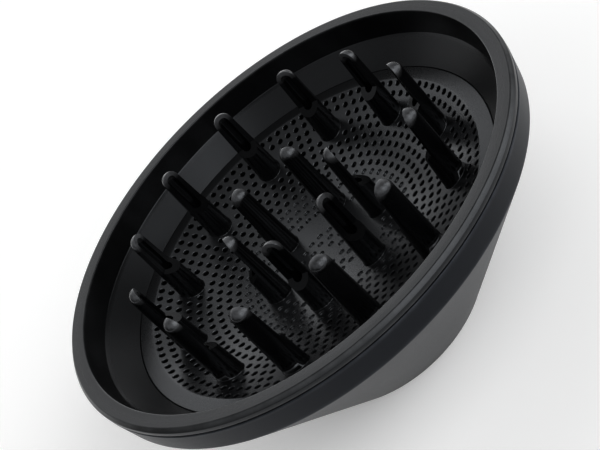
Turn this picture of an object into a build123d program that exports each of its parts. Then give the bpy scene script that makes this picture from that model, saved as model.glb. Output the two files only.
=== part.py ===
from build123d import *

import os
from math import asin, cos, degrees, radians, sin, sqrt, tan

# Finger diffuser for a hair dryer: a round dish with a perforated bowl and hollow air fingers.
# Driving dimensions, in millimetres. The origin is the middle of the neck's rear face.
rim_radius = 65.0                       # inner edge of the front rim
rim_height = 50.8                       # height of that edge above the neck's rear face
unit = rim_radius                       # the other radii are shares of the rim radius
wall = 2.2                              # rear shell
skin = 1.8                              # front ring and grille
seam = 0.15                             # gap between parts that drop into each other
groove = 0.36                           # parting groove around the outside
match = 0.01                            # how closely an edge's radius is matched

# Rear shell
neck_radius = 0.495 * unit
band_low = Vector(1.0577 * unit, 0, rim_height - 0.144 * unit)
band_top = Vector(1.0715 * unit, 0, rim_height - 0.036 * unit)
neck_web = 2.6                          # thickness of the ring that closes the neck
neck_hole = 29.0
bead = 0.5                              # radius of the snap bead
bead_drop = 2.0                         # the bead's distance below the shell's top edge
bead_space = 0.1                        # room round the bead in its groove
inner_rise = 0.4                        # the cone's inner wall runs this far past the band's foot
band_round = 1.2
edge_round = 0.35
neck_round = 0.6

# Front ring
face_outer = 1.0572 * unit
face_rise = 0.3                         # the face climbs this much towards the outside
wall_foot = Vector(0.983 * unit, 0, rim_height - 0.110 * unit)
band_foot = Vector(0.880 * unit, 0, rim_height - 0.212 * unit)
shelf_radius = 0.84 * unit
shelf = 1.55
skirt_gap = 0.3                         # between the ring's skirt and the shell
skirt_draft = 0.4
skirt_length = 5.8
face_drop = 0.9                         # height of the rounded outer edge of the face
face_round = 1.3
rim_round = 0.3

# Grille: a flat border around a bowl that is part of a sphere
bowl_radius = 0.81 * unit
bowl_depth = 0.180 * unit
border_height = band_foot.Z
sphere_radius = (bowl_radius**2 + bowl_depth**2) / (2 * bowl_depth)
sphere_height = border_height - bowl_depth + sphere_radius
last_ring = 18
ring_step = 0.0432 * unit
ring_start = 0.0145 * unit
holes_per_ring = 6                      # each ring has this many more than the one inside it
hole_radius = 0.85
hole_turn = 10.0                        # angle between the hole pattern and the first finger
first_ring = 10                         # the middle stays closed, so that air is pushed outwards
plain_margin = 1.5                      # plain plastic around each finger's foot

# Fingers: half of each tube is open on one side, from a sloping lip up to the tip
outer_fingers = 12
inner_fingers = 6
outer_circle = 0.665 * unit
inner_circle = 0.275 * unit
finger_foot = 3.6
finger_tip = 2.75
finger_length = 24.05
finger_wall = 1.25
lip_low = 8.5                           # lowest point of the opening, above the foot
lip_slope = 35                          # the opening's lower lip falls outwards at this angle
cut_offset = 0.1                        # the opening is cut this far in front of the finger's axis
foot_depth = 1.9                        # the foot starts this far down, and the bowl trims it
spigot_radius = 2.3
spigot_wall = 0.9
spigot_length = 3.0
spigot_gap = 0.05

# Neck parts
collar_outer = neck_hole - seam
collar_bore = 26.5
collar_height = 18.0
collar_flange = 31.1
flange_thickness = 2.0
collar_foot = 0.3                       # the collar stands this far inside the neck's rear face
stop_radius = 24.6
stop_thickness = 1.4
grip_bore = 25.2
grip_length = 11.0
grip_start = 1.4
grip_lead = 0.6                         # lead-in chamfer

os.makedirs("parts", exist_ok=True)


def keep(part, name):
    """Label a finished part and write it to its own file."""
    part.label = name
    export_step(part, f"parts/{name}.step", write_pcurves=False)


def bowl_height(radius):
    """Height of the bowl's upper surface at this distance from the axis."""
    return sphere_height - sqrt(sphere_radius**2 - radius**2)


def finger_places():
    """Name, angle and circle radius of every finger, and the way that its slot faces."""
    for i in range(outer_fingers):
        yield f"outer_finger_{i + 1:02d}", i * 360 / outer_fingers, outer_circle, 180
    for i in range(inner_fingers):
        yield f"inner_finger_{i + 1}", i * 360 / inner_fingers, inner_circle, 0


def on_circle(radius, angle, height=0.0):
    """Point at this radius, angle and height about the dish's axis."""
    return Vector(radius * cos(radians(angle)), radius * sin(radians(angle)), height)


def hole_places():
    """Places on the bowl, facing out of it, of its air holes."""
    feet = [on_circle(circle, angle) for _, angle, circle, _ in finger_places()]
    places = []
    for ring in range(first_ring, last_ring + 1):
        radius = ring_start + ring * ring_step
        lean = degrees(asin(radius / sphere_radius))
        count = ring * holes_per_ring
        for i in range(count):
            angle = hole_turn + i * 360 / count
            spot = on_circle(radius, angle, bowl_height(radius))
            if min((Vector(spot.X, spot.Y) - foot).length for foot in feet) > finger_foot + plain_margin:
                places.append(Location(spot) * Rotation(0, 0, angle) * Rotation(0, -lean, 0))
    return places


# Rear shell: a cone from the neck to a short side band, closed at the neck by a flat ring.
cone_slope = (band_low.X - neck_radius) / band_low.Z
flat_wall = wall * sqrt(1 + cone_slope**2)
inner_low = band_low.Z + inner_rise
bead_height = band_top.Z - bead_drop
bead_centre = band_top.X - wall - seam - bead / 2
with BuildPart() as rear_shell:
    with BuildSketch(Plane.XZ):
        with BuildLine():
            Polyline(
                (neck_hole, 0),
                (neck_radius, 0),
                (band_low.X, band_low.Z),
                (band_top.X, band_top.Z),
                (band_top.X - wall, band_top.Z),
                (neck_radius + cone_slope * inner_low - flat_wall, inner_low),
                (neck_radius + cone_slope * neck_web - flat_wall, neck_web),
                (neck_hole, neck_web),
                close=True,
            )
        make_face()
    revolve(axis=Axis.Z)
    with BuildSketch(Plane.XZ):
        with Locations((bead_centre, bead_height)):
            Circle(bead + bead_space)
    revolve(axis=Axis.Z, mode=Mode.SUBTRACT)
    outer_edges = rear_shell.edges().filter_by(GeomType.CIRCLE)
    fillet(outer_edges.filter_by(lambda e: abs(e.radius - band_low.X) < match), band_round)
    fillet(outer_edges.filter_by(lambda e: abs(e.radius - band_top.X) < match), edge_round)
    fillet(outer_edges.filter_by(lambda e: abs(e.radius - neck_radius) < match), neck_round)
keep(rear_shell.part, "rear_shell")

# Front ring: rim face, steep inner wall and sloping band in one moulding, with a shelf for the grille.
ring_low = band_top.Z + groove
skirt_low = rim_height - skirt_length
skirt_top_radius = band_top.X - wall - skirt_gap
skirt_low_radius = skirt_top_radius - skirt_draft
slope_gap = skin / sqrt(2)
with BuildPart() as front_ring:
    with BuildSketch(Plane.XZ):
        with BuildLine():
            Polyline(
                (wall_foot.X, wall_foot.Z),
                (rim_radius, rim_height),
                (face_outer, rim_height + face_rise),
            )
            RadiusArc((face_outer, rim_height + face_rise), (band_top.X, rim_height - face_drop), face_round)
            Polyline(
                (band_top.X, rim_height - face_drop),
                (band_top.X, ring_low),
                (skirt_top_radius, ring_low),
                (skirt_low_radius, skirt_low),
                (wall_foot.X + slope_gap + seam, skirt_low),
                (wall_foot.X + slope_gap, wall_foot.Z - slope_gap),
                (band_foot.X + slope_gap, band_foot.Z - slope_gap),
                (band_foot.X + slope_gap, band_foot.Z - skin - shelf),
                (shelf_radius, band_foot.Z - skin - shelf),
                (shelf_radius, band_foot.Z - skin),
                (band_foot.X, band_foot.Z - skin),
                (band_foot.X, band_foot.Z),
                (wall_foot.X, wall_foot.Z),
            )
        make_face()
    revolve(axis=Axis.Z)
    with BuildSketch(Plane.XZ):
        with Locations((bead_centre, bead_height)):
            Circle(bead)
    revolve(axis=Axis.Z)
    inner_edge = front_ring.edges().filter_by(GeomType.CIRCLE)
    fillet(inner_edge.filter_by(lambda e: abs(e.radius - rim_radius) < match), rim_round)
keep(front_ring.part, "front_ring")

# Grille: bored square to the bowl's surface, except for the finger sockets, which stand upright.
border_radius = band_foot.X - seam
under_radius = sqrt((sphere_radius + skin) ** 2 - (sphere_height - border_height + skin) ** 2)
with BuildPart() as grille:
    with BuildSketch(Plane.XZ):
        with BuildLine():
            RadiusArc((0, border_height - bowl_depth), (bowl_radius, border_height), -sphere_radius)
            Polyline(
                (bowl_radius, border_height),
                (border_radius, border_height),
                (border_radius, border_height - skin),
                (under_radius, border_height - skin),
            )
            RadiusArc(
                (under_radius, border_height - skin),
                (0, border_height - bowl_depth - skin),
                sphere_radius + skin,
            )
            Line((0, border_height - bowl_depth - skin), (0, border_height - bowl_depth))
        make_face()
    revolve(axis=Axis.Z)
    with Locations(*hole_places()):
        Cylinder(hole_radius, 4 * skin, mode=Mode.SUBTRACT)
    for _, angle, circle, _ in finger_places():
        with Locations(on_circle(circle, angle, bowl_height(circle))):
            Cylinder(spigot_radius + spigot_gap, 6 * skin, mode=Mode.SUBTRACT)
keep(grille.part, "grille")


def make_finger(angle, circle, facing):
    """One finger: a tapered tube with a domed tip, opened on one side, and a spigot for its socket."""
    foot = on_circle(circle, angle, bowl_height(circle))
    way = on_circle(1, angle + facing)
    upright = Plane(foot, x_dir=way, z_dir=way.cross(Vector(0, 0, 1)))
    shoulder = finger_length - finger_tip
    bore = spigot_radius - spigot_wall
    hollow = finger_tip - finger_wall
    with BuildPart() as finger:
        with BuildSketch(upright):
            with BuildLine():
                Polyline(
                    (bore, -foot_depth),
                    (finger_foot + seam, -foot_depth),
                    (finger_tip, shoulder),
                )
                RadiusArc((finger_tip, shoulder), (0, finger_length), -finger_tip)
                Line((0, finger_length), (0, shoulder + hollow))
                RadiusArc((0, shoulder + hollow), (hollow, shoulder), hollow)
                Polyline((hollow, shoulder), (bore, 0), (bore, -foot_depth))
            make_face()
        revolve(axis=Axis(foot, (0, 0, 1)))
        with Locations((0, 0, sphere_height)):
            Sphere(sphere_radius, mode=Mode.INTERSECT)
        with BuildSketch(Plane(foot - Vector(0, 0, spigot_length))):
            Circle(spigot_radius)
            Circle(bore, mode=Mode.SUBTRACT)
        extrude(amount=spigot_length + spigot_wall)
        with BuildSketch(upright):
            with BuildLine():
                Polyline(
                    (cut_offset, lip_low + (finger_foot - cut_offset) * tan(radians(lip_slope))),
                    (cut_offset, 2 * finger_length),
                    (2 * finger_foot, 2 * finger_length),
                    (2 * finger_foot, lip_low - finger_foot * tan(radians(lip_slope))),
                    close=True,
                )
            make_face()
        extrude(amount=2 * finger_foot, both=True, mode=Mode.SUBTRACT)
    return finger.part


for name, angle, circle, facing in finger_places():
    keep(make_finger(angle, circle, facing), name)

# Coupling collar: the tube that slides over the dryer's nozzle, with a stop at its inner end.
flange_low = neck_web + spigot_gap
flange_top = flange_low + flange_thickness
with BuildPart() as coupling_collar:
    with BuildSketch(Plane.XZ):
        with BuildLine():
            Polyline(
                (collar_bore, collar_foot),
                (collar_outer, collar_foot),
                (collar_outer, flange_low),
                (collar_flange, flange_low),
                (collar_flange, flange_top),
                (collar_outer, flange_top),
                (collar_outer, collar_height),
                (stop_radius, collar_height),
                (stop_radius, collar_height - stop_thickness),
                (collar_bore, collar_height - stop_thickness),
                close=True,
            )
        make_face()
    revolve(axis=Axis.Z)
keep(coupling_collar.part, "coupling_collar")

# Grip ring: the soft lining that holds the nozzle.
with BuildPart() as grip_ring:
    with BuildSketch(Plane.XZ):
        with BuildLine():
            Polyline(
                (grip_bore + grip_lead, grip_start),
                (collar_bore, grip_start),
                (collar_bore, grip_start + grip_length),
                (grip_bore, grip_start + grip_length),
                (grip_bore, grip_start + grip_lead),
                close=True,
            )
        make_face()
    revolve(axis=Axis.Z)
keep(grip_ring.part, "grip_ring")
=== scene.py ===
from math import cos, pi, radians, sin, sqrt, tan

import bmesh
import bpy
from mathutils import Matrix, Vector


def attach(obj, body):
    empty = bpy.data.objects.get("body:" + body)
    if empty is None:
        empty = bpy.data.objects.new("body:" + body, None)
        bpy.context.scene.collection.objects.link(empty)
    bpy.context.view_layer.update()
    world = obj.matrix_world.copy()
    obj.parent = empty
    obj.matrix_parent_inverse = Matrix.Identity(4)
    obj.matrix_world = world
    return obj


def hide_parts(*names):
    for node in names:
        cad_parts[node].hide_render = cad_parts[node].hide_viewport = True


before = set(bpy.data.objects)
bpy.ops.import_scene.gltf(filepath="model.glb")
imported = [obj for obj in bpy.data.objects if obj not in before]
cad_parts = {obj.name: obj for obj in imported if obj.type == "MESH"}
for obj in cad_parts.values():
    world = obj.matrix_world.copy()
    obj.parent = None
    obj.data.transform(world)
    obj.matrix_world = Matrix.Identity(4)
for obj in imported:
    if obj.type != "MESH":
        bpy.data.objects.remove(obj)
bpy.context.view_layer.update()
mm = 0.001
print("frame loaded with", len(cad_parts), "parts")


class Wire:  # one output socket, so that sums are written as plain expressions
    def __init__(self, board, socket):
        self.board, self.socket = board, socket

    def calc(self, operation, *terms):
        return self.board.add("ShaderNodeMath", {"operation": operation}, dict(enumerate(terms)))

    def other(self, name):  # another output of the same node
        return Wire(self.board, self.board.pick(self.socket.node.outputs, name))

    def __add__(self, term):
        return self.calc("ADD", self, term)

    def __radd__(self, term):
        return self.calc("ADD", term, self)

    def __sub__(self, term):
        return self.calc("SUBTRACT", self, term)

    def __rsub__(self, term):
        return self.calc("SUBTRACT", term, self)

    def __mul__(self, term):
        return self.calc("MULTIPLY", self, term)

    def __truediv__(self, term):
        return self.calc("DIVIDE", self, term)

    def __gt__(self, term):
        return self.calc("GREATER_THAN", self, term)

    def __lt__(self, term):
        return self.calc("LESS_THAN", self, term)

    def root(self):
        return self.calc("SQRT", self)

    def floor(self):
        return self.calc("FLOOR", self)

    def sin(self):
        return self.calc("SINE", self)

    def cos(self):
        return self.calc("COSINE", self)

    def within(self):  # held between 0 and 1
        return self.board.add("ShaderNodeClamp", {}, {"Value": self})


class Board:  # a node tree that is filled from Python
    def __init__(self, tree):
        self.tree = tree

    def pick(self, sockets, key):
        if isinstance(key, int):
            return sockets[key]
        return next(s for s in sockets if s.name == key and s.enabled)

    def add(self, kind, settings=None, values=None, out=0):
        node = self.tree.nodes.new(kind)
        for key, setting in (settings or {}).items():
            setattr(node, key, setting)
        for key, value in (values or {}).items():
            socket = self.pick(node.inputs, key)
            if isinstance(value, Wire):
                self.tree.links.new(value.socket, socket)
            else:
                socket.default_value = value
        return Wire(self, self.pick(node.outputs, out)) if len(node.outputs) else None


def roundCorners(corners, steps=5):  # closed outline; a corner is radius, height and rounding, in mm
    outline = []
    for i, (radius, height, rounding) in enumerate(corners):
        here = Vector((radius, height))
        if not rounding:
            outline.append(here)
            continue
        back = (Vector(corners[i - 1][:2]) - here).normalized()
        onward = (Vector(corners[(i + 1) % len(corners)][:2]) - here).normalized()
        half = back.angle(onward) / 2
        centre = here + (back + onward).normalized() * rounding / sin(half)
        start = here + back * rounding / tan(half) - centre
        end = here + onward * rounding / tan(half) - centre
        for s in range(steps + 1):
            outline.append(centre + start.lerp(end, s / steps).normalized() * rounding)
    return outline


def lathe(name, outline, turns=240):  # turns a closed outline about the vertical axis
    points, faces, rings = [], [], []
    for radius, height in outline:
        count = 1 if radius < 1e-6 else turns
        rings.append(range(len(points), len(points) + count))
        for t in range(count):
            angle = 2 * pi * t / turns
            points.append((radius * cos(angle) * mm, radius * sin(angle) * mm, height * mm))
    for here, onward in zip(rings, rings[1:] + rings[:1]):
        for t in range(turns):
            face = [here[t % len(here)], here[(t + 1) % len(here)],
                    onward[(t + 1) % len(onward)], onward[t % len(onward)]]
            face = list(dict.fromkeys(face))
            if len(face) > 2:
                faces.append(face)
    mesh = bpy.data.meshes.new(name)
    mesh.from_pydata(points, [], faces)
    return place(name, mesh)


def place(name, mesh):  # a new object at the origin, closed and facing outwards
    shape = bmesh.new()
    shape.from_mesh(mesh)
    bmesh.ops.recalc_face_normals(shape, faces=shape.faces)
    shape.to_mesh(mesh)
    shape.free()
    piece = bpy.data.objects.new(name, mesh)
    bpy.context.scene.collection.objects.link(piece)
    return piece


def bake(piece):  # a piece's modifiers become plain mesh
    bpy.context.view_layer.update()
    shown = piece.evaluated_get(bpy.context.evaluated_depsgraph_get())
    mesh = bpy.data.meshes.new_from_object(shown)
    piece.modifiers.clear()
    piece.data = mesh
    mesh.name = piece.name


def smooth(piece, angle=35):  # smooth shading that keeps flat faces flat
    piece.data.shade_smooth()
    piece.data.set_sharp_from_angle(angle=radians(angle))
    weigh = piece.modifiers.new("even shading", "WEIGHTED_NORMAL")
    weigh.keep_sharp = True
    bake(piece)


def runTree(piece, tree, inputs):  # geometry nodes with their inputs set by name
    holder = piece.modifiers.new(tree.name, "NODES")
    holder.node_group = tree
    for socket in tree.interface.items_tree:
        if socket.in_out == "INPUT" and socket.name in inputs:
            holder[socket.identifier] = inputs[socket.name]
    bake(piece)


def newTree(name, inputs):  # an empty geometry tree with named inputs
    tree = bpy.data.node_groups.new(name, "GeometryNodeTree")
    tree.interface.new_socket("Geometry", in_out="OUTPUT", socket_type="NodeSocketGeometry")
    tree.interface.new_socket("Geometry", in_out="INPUT", socket_type="NodeSocketGeometry")
    for title, kind in inputs.items():
        tree.interface.new_socket(title, in_out="INPUT", socket_type="NodeSocket" + kind)
    board = Board(tree)
    return tree, board, board.add("NodeGroupInput")


def endTree(board, geometry, material):  # every tree ends in real geometry with its material
    real = board.add("GeometryNodeRealizeInstances", {}, {"Geometry": geometry})
    painted = board.add("GeometryNodeSetMaterial", {}, {"Geometry": real, "Material": material})
    board.add("NodeGroupOutput", {}, {"Geometry": painted})


patternSizes = {"broad": 28.0, "streak": 210.0, "broadTone": 0.9, "streakTone": 0.6, "fineTone": 0.8,
                "middle": 0.35, "broadGloss": 0.10, "fineGloss": 0.12, "relief": 0.05,
                "highlightAndWear": 0.55, "highlightAndWearStreak": 1.6, "polishFade": 4}


def plastic(name, colour, lighter, roughness, grain, grainSize, sheen=0.5,
            tint=(0.90, 0.94, 1.0), paintedHighlightsAndWear=(), polish=(), mottle=1.0):
    p = patternSizes
    material = bpy.data.materials.new(name)
    material.use_nodes = True
    material.node_tree.nodes.clear()
    board = Board(material.node_tree)
    spot = board.add("ShaderNodeTexCoord", {}, {}, "Object")
    fine = board.add("ShaderNodeTexNoise", {}, {"Vector": spot, "Scale": 1 / (grainSize * mm),
                                                 "Detail": 3.0, "Roughness": 0.6})
    broad = board.add("ShaderNodeTexNoise", {}, {"Vector": spot, "Scale": p["broad"], "Detail": 4.0})
    streak = board.add("ShaderNodeTexNoise", {}, {"Vector": spot, "Scale": p["streak"],
                                                   "Detail": 5.0, "Roughness": 0.7})
    tone = ((broad - 0.5) * p["broadTone"] + (streak - 0.5) * p["streakTone"]
            + (fine - 0.5) * p["fineTone"] + p["middle"]).within()
    axes = board.add("ShaderNodeSeparateXYZ", {}, {"Vector": spot}, "X")
    across = (axes * axes + axes.other("Y") * axes.other("Y")).root()
    height = axes.other("Z")
    highlightAndWear = 0.0
    for radius, level, width, strength in paintedHighlightsAndWear:  # edges and tips painted lighter: on the visible edges and the finger domes these are painted highlights, elsewhere just lighter edges
        aside, above = across - radius * mm, height - level * mm
        near = (1 - (aside * aside + above * above).root() / (width * mm)).within()
        edgeHighlightAndWear = near * (p["highlightAndWear"] + (streak - 0.5) * p["highlightAndWearStreak"]).within() * strength
        highlightAndWear = edgeHighlightAndWear + highlightAndWear
    # base colour: random tone plus the painted edge and tip highlights
    shade = board.add("ShaderNodeMix", {"data_type": "RGBA"},
                      {"Factor": (tone * mottle + highlightAndWear).within(), "A": (*colour, 1),
                       "B": (*lighter, 1)}, "Result")
    gloss = roughness + (broad - 0.5) * p["broadGloss"] + (fine - 0.5) * p["fineGloss"]
    for radius, level, width, amount in polish:  # smoother zones, such as a polished wall
        aside, above = across - radius * mm, height - level * mm
        near = ((1 - (aside * aside + above * above).root() / (width * mm)) * p["polishFade"]).within()
        gloss = gloss - near * amount
    gloss = gloss.within()
    relief = board.add("ShaderNodeBump", {}, {"Strength": grain, "Distance": p["relief"] * mm,
                                              "Height": fine})
    surface = board.add("ShaderNodeBsdfPrincipled", {},
                        {"Base Color": shade, "Roughness": gloss, "Normal": relief,
                         "Specular IOR Level": sheen, "Specular Tint": (*tint, 1)})
    board.add("ShaderNodeOutputMaterial", {}, {"Surface": surface})
    return material


finishes = {  # colours, roughness, grain strength and grain size in mm
    "shell": plastic("shellPlastic", (0.0026, 0.0030, 0.0040), (0.052, 0.056, 0.064),
                     0.36, 0.35, 0.30, sheen=0.28, tint=(0.80, 0.87, 1.0), mottle=0.13,
                     # the first two lighter edges are painted highlight lines at the seam and the
                     # band's lower corner; the third, at the neck's foot, is a lighter edge
                     paintedHighlightsAndWear=[(69.6, 48.3, 0.9, 0.7), (68.8, 41.4, 1.2, 0.5), (32.2, 0.0, 1.5, 0.5)]),
    "ring": plastic("ringPlastic", (0.0024, 0.0025, 0.0028), (0.058, 0.060, 0.062),
                    0.30, 0.35, 0.30, mottle=0.11, polish=[(64.4, 47.3, 4.8, 0.20)],
                    # the three lighter edges are painted highlight lines along the rim's inner and
                    # outer edges and the seam
                    paintedHighlightsAndWear=[(65.0, 50.8, 0.7, 0.6), (69.2, 50.9, 1.0, 1.1), (69.6, 48.9, 0.7, 0.9)]),
    "grille": plastic("grillePlastic", (0.0026, 0.0027, 0.0030), (0.042, 0.043, 0.046),
                      # the lighter edge at the bowl's rim is a painted highlight line
                      0.29, 0.30, 0.35, sheen=1.0, mottle=0.14, paintedHighlightsAndWear=[(52.7, 37.0, 0.8, 0.5)]),
    "finger": plastic("fingerPlastic", (0.0012, 0.0012, 0.0014), (0.095, 0.097, 0.102),
                      0.19, 0.14, 0.28, sheen=0.55, mottle=0.035,
                      # the lighter tips are painted highlights on the finger domes
                      paintedHighlightsAndWear=[(43.2, 57.0, 3.5, 2.0), (17.9, 50.5, 3.5, 2.0)]),
    "collar": plastic("collarPlastic", (0.0040, 0.0040, 0.0044), (0.040, 0.041, 0.043),
                      0.42, 0.35, 0.35, mottle=0.15, paintedHighlightsAndWear=[(24.6, 18.0, 0.8, 0.4)]),
    "grip": plastic("gripRubber", (0.0040, 0.0040, 0.0042), (0.034, 0.034, 0.035),
                    0.65, 0.45, 0.25, mottle=0.18),
}
print("finishes made:", ", ".join(finishes))


def keepPiece(piece, slot, *nodes):
    if not piece.data.materials:
        piece.data.materials.append(finishes[slot])
    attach(piece, "root")
    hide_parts(*nodes)
    low, high = Vector(piece.bound_box[0]), Vector(piece.bound_box[6])
    print(piece.name, "done,", len(piece.data.polygons), "faces,",
          "size", [round(v / mm, 2) for v in high - low])


rimRadius, rimHeight = 65.0, 50.8  # inner edge of the front rim
shellSizes = {"neck": 32.175, "neckHole": 29.0, "web": 2.6, "wall": 2.2,
              "bandLow": (68.75, 41.44), "bandTop": (69.6475, 48.46), "seamRound": 0.35}


def makeRearShell(s):
    slope = (s["bandLow"][0] - s["neck"]) / s["bandLow"][1]
    thick = s["wall"] * sqrt(1 + slope ** 2)
    inner = s["bandLow"][1] + 0.4
    shell = lathe("rearShell", roundCorners([
        (s["neckHole"], 0, 0.3),
        (s["neck"], 0, 0.6),
        (*s["bandLow"], 1.2),
        (*s["bandTop"], s["seamRound"]),
        (s["bandTop"][0] - s["wall"], s["bandTop"][1], 0.2),
        (s["neck"] + slope * inner - thick, inner, 0.8),
        (s["neck"] + slope * s["web"] - thick, s["web"], 0.5),
        (s["neckHole"], s["web"], 0.2),
    ]))
    smooth(shell)
    keepPiece(shell, "shell", "rear_shell")


makeRearShell(shellSizes)


ringSizes = {"faceOuter": (68.718, 51.1), "outer": 69.6475, "sideTop": 49.9, "low": 48.82,
             "wallFoot": (63.895, 43.65), "bandFoot": (57.2, 37.02), "skin": 1.8,
             "shelfRadius": 54.6, "shelf": 1.55, "skirt": 67.1475, "skirtLow": 45.0,
             "edgeRound": 0.30}


def makeFrontRing(s):
    gap = s["skin"] / sqrt(2)
    footRadius, footHeight = s["bandFoot"]
    ring = lathe("frontRing", roundCorners([
        (*s["wallFoot"], 0.5),
        (rimRadius, rimHeight, s["edgeRound"]),
        (*s["faceOuter"], 0.45),
        (s["outer"] - 0.02, s["sideTop"] + 0.15, 0.5),
        (s["outer"], s["low"], 0.30),
        (s["skirt"], s["low"], 0.1),
        (s["skirt"] - 0.4, s["skirtLow"], 0.2),
        (s["wallFoot"][0] + gap + 0.2, s["skirtLow"], 0.2),
        (s["wallFoot"][0] + gap, s["wallFoot"][1] - gap, 0.5),
        (footRadius + gap, footHeight - gap, 0.3),
        (footRadius + gap, footHeight - s["skin"] - s["shelf"], 0.2),
        (s["shelfRadius"], footHeight - s["skin"] - s["shelf"], 0.2),
        (s["shelfRadius"], footHeight - s["skin"], 0.1),
        (footRadius, footHeight - s["skin"], 0.1),
        (footRadius, footHeight, 0.15),
    ]))
    smooth(ring)
    keepPiece(ring, "ring", "front_ring")


makeFrontRing(ringSizes)


grilleSizes = {"bowlRadius": 52.65, "bowlDepth": 11.7, "border": 57.05, "borderHeight": 37.02,
               "skin": 1.8, "ringStep": 2.808, "ringStart": 0.9425, "lastRing": 18,
               "firstThrough": 10, "holeRadius": 0.85, "holeTurn": 10.0, "plainRings": (4, 5),
               "plainMargin": 5.1, "chamfer": 0.12, "dimpleDepth": 0.55, "dimpleFloor": 0.15,
               "dimpleRound": 0.12, "dimpleDraft": 0.04, "cutDepth": 4, "cutTurns": 14,
               "socket": 2.35, "socketLow": 20, "socketTop": 40, "socketTurns": 32,
               "steps": 26, "turns": 180, "crease": 28, "curved": 0.985, "level": 0.9995,
               "curvedTo": 52.4}
fingerRows = {"outer": {"count": 12, "circle": 43.225, "facing": 180.0},
              "inner": {"count": 6, "circle": 17.875, "facing": 0.0}}
bowlRadius, bowlDepth = grilleSizes["bowlRadius"], grilleSizes["bowlDepth"]
sphereRadius = (bowlRadius ** 2 + bowlDepth ** 2) / (2 * bowlDepth)
sphereHeight = grilleSizes["borderHeight"] - bowlDepth + sphereRadius


def bowlHeight(radius):
    return sphereHeight - sqrt(sphereRadius ** 2 - radius ** 2)


def holeTree():  # cuts rings of holes square to a bowl, six more holes in each ring
    tree, board, given = newTree("bowlHoles", {
        "Last Ring": "Int", "Ring Start": "Float", "Ring Step": "Float", "Turn": "Float",
        "First Through Ring": "Int", "Plain From": "Int", "Plain To": "Int", "Sphere Radius": "Float",
        "Sphere Height": "Float", "Foot Margin": "Float", "Outer Circle": "Float",
        "Inner Circle": "Float", "Outer Count": "Int", "Inner Count": "Int",
        "Hole Cutter": "Object", "Dimple Cutter": "Object", "Socket Cutter": "Object",
        "Material": "Material"})
    last = given.other("Last Ring")
    points = board.add("GeometryNodePoints", {}, {"Count": last * (last + 1) * 3})
    index = board.add("GeometryNodeInputIndex")
    ring = (((1 + index * 4 / 3).root() - 1) / 2 + 0.00001).floor() + 1  # ring n starts at 3n(n - 1)
    along = index - ring * (ring - 1) * 3
    radius = given.other("Ring Start") + ring * given.other("Ring Step")
    angle = given.other("Turn") + along * (2 * pi) / (ring * 6)
    sphere = given.other("Sphere Radius")
    level = given.other("Sphere Height") - (sphere * sphere - radius * radius).root()
    across, aside = radius * angle.cos(), radius * angle.sin()
    spot = board.add("ShaderNodeCombineXYZ", {}, {"X": across, "Y": aside, "Z": level})
    ground = board.add("ShaderNodeCombineXYZ", {}, {"X": across, "Y": aside})
    placed = board.add("GeometryNodeSetPosition", {}, {"Geometry": points, "Position": spot})
    feet = [board.add("GeometryNodeMeshCircle", {}, {"Vertices": given.other(row + " Count"),
                                                     "Radius": given.other(row + " Circle")})
            for row in ("Outer", "Inner")]
    join = board.add("GeometryNodeJoinGeometry", {}, {"Geometry": feet[0]})
    board.tree.links.new(feet[1].socket, join.socket.node.inputs[0])
    near = board.add("GeometryNodeProximity", {"target_element": "POINTS"},
                     {0: join, "Sample Position": ground}, "Distance")
    plain = (ring > given.other("Plain From") - 0.5) * (ring < given.other("Plain To") + 0.5)
    dropped = (plain + (near < given.other("Foot Margin")) > 0.5)
    kept = board.add("GeometryNodeDeleteGeometry", {"domain": "POINT"},
                     {"Geometry": placed, "Selection": dropped})
    middle = board.add("ShaderNodeCombineXYZ", {}, {"Z": given.other("Sphere Height")})
    inward = board.add("ShaderNodeVectorMath", {"operation": "SUBTRACT"},
                       {0: middle, 1: board.add("GeometryNodeInputPosition")})
    facing = board.add("FunctionNodeAlignRotationToVector", {"axis": "Z"}, {"Vector": inward})
    through = ring > given.other("First Through Ring") - 0.5
    cutters = []
    ringStore = board.add("GeometryNodeStoreNamedAttribute", {"data_type": "FLOAT", "domain": "POINT"},
                          {"Geometry": placed, "Name": "through", "Value": through})
    board.tree.links.new(ringStore.socket, kept.socket.node.inputs["Geometry"])
    isThrough = board.add("GeometryNodeInputNamedAttribute", {"data_type": "FLOAT"},
                          {"Name": "through"}, "Attribute")
    for cutter, chosen in (("Hole Cutter", isThrough > 0.5), ("Dimple Cutter", isThrough < 0.5)):
        shape = board.add("GeometryNodeObjectInfo", {}, {"Object": given.other(cutter)}, "Geometry")
        cutters.append(board.add("GeometryNodeInstanceOnPoints", {},
                                 {"Points": kept, "Selection": chosen, "Instance": shape,
                                  "Rotation": facing}))
    socketShape = board.add("GeometryNodeObjectInfo", {}, {"Object": given.other("Socket Cutter")},
                            "Geometry")
    cutters.append(board.add("GeometryNodeInstanceOnPoints", {},
                             {"Points": join, "Instance": socketShape}))
    allCutters = board.add("GeometryNodeJoinGeometry", {}, {"Geometry": cutters[0]})
    for more in cutters[1:]:
        board.tree.links.new(more.socket, allCutters.socket.node.inputs[0])
    solid = board.add("GeometryNodeRealizeInstances", {}, {"Geometry": allCutters})
    cut = board.add("GeometryNodeMeshBoolean", {"operation": "DIFFERENCE", "solver": "MANIFOLD"},
                    {0: given, 1: solid}, "Mesh")
    endTree(board, cut, given.other("Material"))
    return tree


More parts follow.
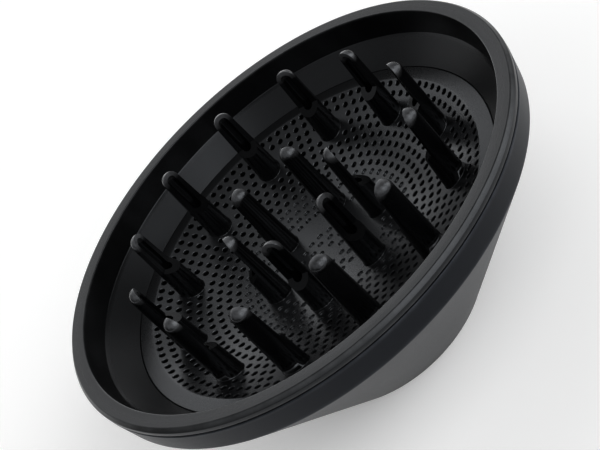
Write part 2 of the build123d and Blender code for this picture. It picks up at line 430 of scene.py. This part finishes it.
def makeGrille(s):
    skin, deep = s["skin"], sphereRadius + s["skin"]
    under = sqrt(deep ** 2 - (sphereHeight - s["borderHeight"] + skin) ** 2)
    steps = s["steps"]
    outline = [(0.0, sphereHeight - sphereRadius, 0)]
    outline += [(s["bowlRadius"] * t / steps, bowlHeight(s["bowlRadius"] * t / steps), 0)
                for t in range(1, steps)]
    outline += [(s["bowlRadius"], s["borderHeight"], 0.12), (s["border"], s["borderHeight"], 0.25),
                (s["border"], s["borderHeight"] - skin, 0.2), (under, s["borderHeight"] - skin, 0)]
    outline += [(under * t / steps, sphereHeight - sqrt(deep ** 2 - (under * t / steps) ** 2), 0)
                for t in range(steps - 1, 0, -1)]
    outline += [(0.0, sphereHeight - deep, 0)]
    grille = lathe("grille", roundCorners(outline, 4), s["turns"])
    r, c, d, deepest = s["holeRadius"], s["chamfer"], s["dimpleDepth"], s["cutDepth"]
    mouth = [(r, -c), (r + c, 0), (r + 3 * c, 2 * c), (0, 2 * c)]
    hole = lathe("holeCutter", [(0, -deepest), (r, -deepest), *mouth], s["cutTurns"])
    dimple = lathe("dimpleCutter", [(0, -d), (r - s["dimpleFloor"], -d),
                                    (r - s["dimpleDraft"], -d + s["dimpleRound"]), *mouth],
                   s["cutTurns"])
    wide, low, top = s["socket"], s["socketLow"], s["socketTop"]
    reach = lathe("socketCutter", [(0, low), (wide, low), (wide, top), (0, top)], s["socketTurns"])
    runTree(grille, holeTree(), {
        "Last Ring": s["lastRing"], "Ring Start": s["ringStart"] * mm, "Ring Step": s["ringStep"] * mm,
        "Turn": radians(s["holeTurn"]), "First Through Ring": s["firstThrough"],
        "Plain From": s["plainRings"][0], "Plain To": s["plainRings"][1],
        "Sphere Radius": sphereRadius * mm, "Sphere Height": sphereHeight * mm,
        "Foot Margin": s["plainMargin"] * mm, "Outer Circle": fingerRows["outer"]["circle"] * mm,
        "Inner Circle": fingerRows["inner"]["circle"] * mm, "Outer Count": fingerRows["outer"]["count"],
        "Inner Count": fingerRows["inner"]["count"], "Hole Cutter": hole,
        "Dimple Cutter": dimple, "Socket Cutter": reach, "Material": finishes["grille"]})
    for cutter in (hole, dimple, reach):
        bpy.data.objects.remove(cutter)
    curveNormals(grille, s)
    keepPiece(grille, "grille", "grille")


def curveNormals(grille, s):  # the bowl's faces take the sphere's own normals
    mesh = grille.data
    mesh.shade_smooth()
    mesh.set_sharp_from_angle(angle=radians(s["crease"]))
    middle = Vector((0, 0, sphereHeight * mm))
    normals = [Vector(n.vector) for n in mesh.corner_normals]
    for face in mesh.polygons:
        for corner in face.loop_indices:
            inward = (middle - mesh.vertices[mesh.loops[corner].vertex_index].co).normalized()
            lean = face.normal.dot(inward)
            if abs(lean) > s["curved"] and face.center.xy.length < s["curvedTo"] * mm:
                normals[corner] = inward if lean > 0 else -inward
            elif face.normal.z > s["level"]:
                normals[corner] = face.normal.copy()
    mesh.normals_split_custom_set(normals)


makeGrille(grilleSizes)


fingerSizes = {"foot": 3.6, "tip": 2.75, "length": 24.05, "wall": 1.25, "lipLow": 8.5, "lipSlope": 35.0,
               "cut": 0.1, "edge": 0.14, "sink": 0.95, "flare": 0.45, "flareTop": -0.15, "spigot": 2.3,
               "spigotWall": 0.9, "spigotLength": 3.0, "fillet": ((0.16, 0.08), (0.02, 0.40)),
               "shaftLevels": (1.2, 4.0, 7.0, 10.0, 13.0, 16.0, 19.0), "boreLevels": (14.0, 8.0, 0.0),
               "domeSteps": 10, "hollowSteps": 6, "turns": 48, "bevelAngle": 50, "crease": 34}


def makeFinger(s):  # one finger on the origin, its opening facing +X
    shoulder, hollow = s["length"] - s["tip"], s["tip"] - s["wall"]
    bore, wide = s["spigot"] - s["spigotWall"], s["foot"] + s["flare"]
    taper = (s["foot"] - s["tip"]) / shoulder
    outline = [(bore, -s["spigotLength"]), (s["spigot"], -s["spigotLength"]),
               (s["spigot"], -s["sink"] - 0.1), (wide, -s["sink"]), (wide, s["flareTop"])]
    outline += [(s["foot"] + out, z) for out, z in s["fillet"]]
    outline += [(s["foot"] - taper * z, z) for z in s["shaftLevels"]]
    dome = [a * pi / (2 * s["domeSteps"]) for a in range(s["domeSteps"])]
    outline += [(s["tip"] * cos(a), shoulder + s["tip"] * sin(a)) for a in dome]
    outline += [(0.0, s["length"]), (0.0, shoulder + hollow)]
    roof = [a * pi / (2 * s["hollowSteps"]) for a in range(s["hollowSteps"] - 1, -1, -1)]
    outline += [(hollow * cos(a), shoulder + hollow * sin(a)) for a in roof]
    outline += [(bore + (hollow - bore) * z / shoulder, z) for z in s["boreLevels"]]
    finger = lathe("finger", outline, s["turns"])
    fall = tan(radians(s["lipSlope"]))
    knife = [(s["cut"], s["lipLow"] + (s["foot"] - s["cut"]) * fall), (s["cut"], 2 * s["length"]),
             (3 * s["foot"], 2 * s["length"]), (3 * s["foot"], s["lipLow"] - 2 * s["foot"] * fall)]
    points = [(x * mm, side * 2 * s["foot"] * mm, z * mm) for side in (-1, 1) for x, z in knife]
    mesh = bpy.data.meshes.new("knife")
    mesh.from_pydata(points, [], [(0, 1, 2, 3), (7, 6, 5, 4), (0, 4, 5, 1), (1, 5, 6, 2),
                                  (2, 6, 7, 3), (3, 7, 4, 0)])
    cutter = place("knife", mesh)
    cut = finger.modifiers.new("opening", "BOOLEAN")
    cut.operation, cut.object, cut.solver = "DIFFERENCE", cutter, "MANIFOLD"
    soften = finger.modifiers.new("edge", "BEVEL")
    soften.width, soften.segments, soften.limit_method = s["edge"] * mm, 2, "ANGLE"
    soften.angle_limit, soften.use_clamp_overlap = radians(s["bevelAngle"]), True
    bake(finger)
    bpy.data.objects.remove(cutter)
    smooth(finger, s["crease"])
    return finger


def fingerTree():  # stands copies of a finger in a ring
    tree, board, given = newTree("fingerRing", {
        "Count": "Int", "Circle": "Float", "Foot Height": "Float", "Foot Slope": "Float",
        "Facing": "Float", "Material": "Material"})
    where = board.add("GeometryNodeInputPosition")
    axes = board.add("ShaderNodeSeparateXYZ", {}, {"Vector": where}, "X")
    outward = given.other("Facing").cos() * axes
    isFoot = (axes.other("Z") < 1.0 * mm) * (axes.other("Z") > -2.0 * mm)
    lift = board.add("ShaderNodeCombineXYZ", {},
                     {"Z": outward * given.other("Foot Slope") * isFoot})
    fitted = board.add("GeometryNodeSetPosition", {}, {"Geometry": given, "Offset": lift})
    index = board.add("GeometryNodeInputIndex")
    angle = index * (2 * pi) / given.other("Count")
    circle = given.other("Circle")
    spot = board.add("ShaderNodeCombineXYZ", {}, {"X": circle * angle.cos(), "Y": circle * angle.sin(),
                                                  "Z": given.other("Foot Height")})
    points = board.add("GeometryNodePoints", {}, {"Count": given.other("Count"), "Position": spot})
    turn = board.add("ShaderNodeCombineXYZ", {}, {"Z": angle + given.other("Facing")})
    stood = board.add("GeometryNodeInstanceOnPoints", {},
                      {"Points": points, "Instance": fitted,
                       "Rotation": board.add("FunctionNodeEulerToRotation", {}, {"Euler": turn})})
    endTree(board, stood, given.other("Material"))
    return tree


finger = makeFinger(fingerSizes)
ringOfFingers = fingerTree()
for row, r in fingerRows.items():
    fingers = bpy.data.objects.new(row + "Fingers", finger.data.copy())
    bpy.context.scene.collection.objects.link(fingers)
    runTree(fingers, ringOfFingers, {
        "Count": r["count"], "Circle": r["circle"] * mm, "Foot Height": bowlHeight(r["circle"]) * mm,
        "Foot Slope": r["circle"] / sqrt(sphereRadius ** 2 - r["circle"] ** 2),
        "Facing": radians(r["facing"]), "Material": finishes["finger"]})
    keepPiece(fingers, "finger", *[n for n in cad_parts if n.startswith(row + "_finger")])
bpy.data.objects.remove(finger)


collarSizes = {"outer": 28.85, "bore": 26.5, "height": 18.0, "flange": 31.1, "flangeLow": 2.65,
               "flangeThick": 2.0, "stop": 24.6, "stopThick": 1.4, "foot": 0.3}
gripSizes = {"bore": 25.2, "start": 1.4, "length": 11.0, "lead": 0.6, "grooves": 5,
             "grooveDeep": 0.35, "grooveMouth": 0.5, "grooveFloor": 0.3, "grooveRound": 0.12}


def makeCollar(s):
    top = s["flangeLow"] + s["flangeThick"]
    collar = lathe("couplingCollar", roundCorners([
        (s["bore"], s["foot"], 0.3), (s["outer"], s["foot"], 0.5),
        (s["outer"], s["flangeLow"], 0.1), (s["flange"], s["flangeLow"], 0.25),
        (s["flange"], top, 0.3), (s["outer"], top, 0.4),
        (s["outer"], s["height"], 0.4), (s["stop"], s["height"], 0.4),
        (s["stop"], s["height"] - s["stopThick"], 0.4), (s["bore"], s["height"] - s["stopThick"], 0.2),
    ]), 192)
    smooth(collar)
    keepPiece(collar, "collar", "coupling_collar")


def makeGrip(s):  # the soft lining has shallow grooves round its bore
    outer, end = collarSizes["bore"], s["start"] + s["length"]
    pitch = (s["length"] - 2 * s["lead"]) / s["grooves"]
    corners = [(s["bore"] + s["lead"], s["start"], 0.15), (outer, s["start"], 0.1),
               (outer, end, 0.1), (s["bore"], end, 0.3)]
    deep, soft = s["bore"] + s["grooveDeep"], s["grooveRound"]
    for g in range(s["grooves"] - 1, -1, -1):
        level = s["start"] + s["lead"] + (g + 0.5) * pitch
        corners += [(s["bore"], level + s["grooveMouth"], soft), (deep, level + s["grooveFloor"], soft),
                    (deep, level - s["grooveFloor"], soft), (s["bore"], level - s["grooveMouth"], soft)]
    corners.append((s["bore"], s["start"] + s["lead"], 0.2))
    grip = lathe("gripRing", roundCorners(corners, 3), 192)
    smooth(grip)
    keepPiece(grip, "grip", "grip_ring")


makeCollar(collarSizes)
makeGrip(gripSizes)


stageSizes = {"floor": 12.0, "floorColour": (0.86, 0.86, 0.86), "floorGlow": 0.22,
              "floorRough": 0.9, "floorSheen": 0.2, "viewGamma": 0.8}
skySizes = {"core": 0.45, "patches": [  # azimuth, elevation, reach and strength
    (0.0, 8, 26, 3.18), (45.0, 8, 26, 0.33), (90.0, 8, 26, 2.03), (135.0, 8, 26, 0.72),
    (270.0, 8, 26, 0.97), (315.0, 8, 26, 1.65), (22.5, 34, 26, 0.21), (67.5, 34, 26, 0.84),
    (112.5, 34, 26, 1.30), (157.5, 34, 26, 0.44), (202.5, 34, 26, 0.96), (247.5, 34, 26, 1.32),
    (292.5, 34, 26, 3.30), (337.5, 34, 26, 3.00), (90.0, 62, 24, 0.60), (162.0, 62, 24, 0.20),
    (234.0, 62, 24, 0.35), (290.0, 58, 22, 2.00),
]}
cameraSizes = {"place": (0.02159, -0.25062, 0.19606), "lens": 67.43, "sensor": 36,
               "near": 0.01, "shift": (-0.1333, 0.0417),
               "right": (0.7518, -0.3626, -0.5508), "up": (0.6583, 0.4598, 0.5960),
               "back": (0.0371, -0.8107, 0.5844)}


def makeFloor(s):
    half = s["floor"] / 2
    mesh = bpy.data.meshes.new("floor")
    mesh.from_pydata([(-half, -half, 0), (half, -half, 0), (half, half, 0), (-half, half, 0)], [],
                     [(0, 1, 2, 3)])
    floor = bpy.data.objects.new("floor", mesh)
    bpy.context.scene.collection.objects.link(floor)
    material = bpy.data.materials.new("paleFloor")
    material.use_nodes = True
    material.node_tree.nodes.clear()
    board = Board(material.node_tree)
    surface = board.add("ShaderNodeBsdfPrincipled", {},
                        {"Base Color": (*s["floorColour"], 1), "Roughness": s["floorRough"],
                         "Specular IOR Level": s["floorSheen"], "Emission Color": (1, 1, 1, 1),
                         "Emission Strength": s["floorGlow"]})
    board.add("ShaderNodeOutputMaterial", {}, {"Surface": surface})
    mesh.materials.append(material)


def makeSky(s):  # soft boxes all round, each fading out towards its edge
    world = bpy.data.worlds.new("studio")
    world.use_nodes = True
    world.node_tree.nodes.clear()
    board = Board(world.node_tree)
    way = board.add("ShaderNodeTexCoord", {}, {}, "Generated")
    glow = 0.0
    for azimuth, elevation, reach, strength in s["patches"]:
        a, e = radians(azimuth), radians(elevation)
        toward = (cos(a) * cos(e), sin(a) * cos(e), sin(e))
        facing = board.add("ShaderNodeVectorMath", {"operation": "DOT_PRODUCT"},
                           {0: way, 1: toward}, "Value")
        soft = board.add("ShaderNodeMapRange", {"interpolation_type": "SMOOTHSTEP"},
                         {"Value": facing, "From Min": cos(radians(reach)),
                          "From Max": cos(radians(reach * s["core"]))})
        glow = soft * strength + glow
    light = board.add("ShaderNodeBackground", {}, {"Strength": glow})
    board.add("ShaderNodeOutputWorld", {}, {"Surface": light})
    bpy.context.scene.world = world


def makeCamera(s):
    data = bpy.data.cameras.new("camera")
    data.lens, data.sensor_width, data.clip_start = s["lens"], s["sensor"], s["near"]
    data.shift_x, data.shift_y = s["shift"]
    camera = bpy.data.objects.new("camera", data)
    turn = Matrix((s["right"], s["up"], s["back"])).transposed().to_4x4()
    camera.matrix_world = Matrix.Translation(s["place"]) @ turn
    bpy.context.scene.collection.objects.link(camera)
    bpy.context.scene.camera = camera


makeFloor(stageSizes)
makeSky(skySizes)
makeCamera(cameraSizes)
bpy.context.scene.view_settings.view_transform = "Standard"
bpy.context.scene.view_settings.gamma = stageSizes["viewGamma"]
print("floor, light and camera placed")
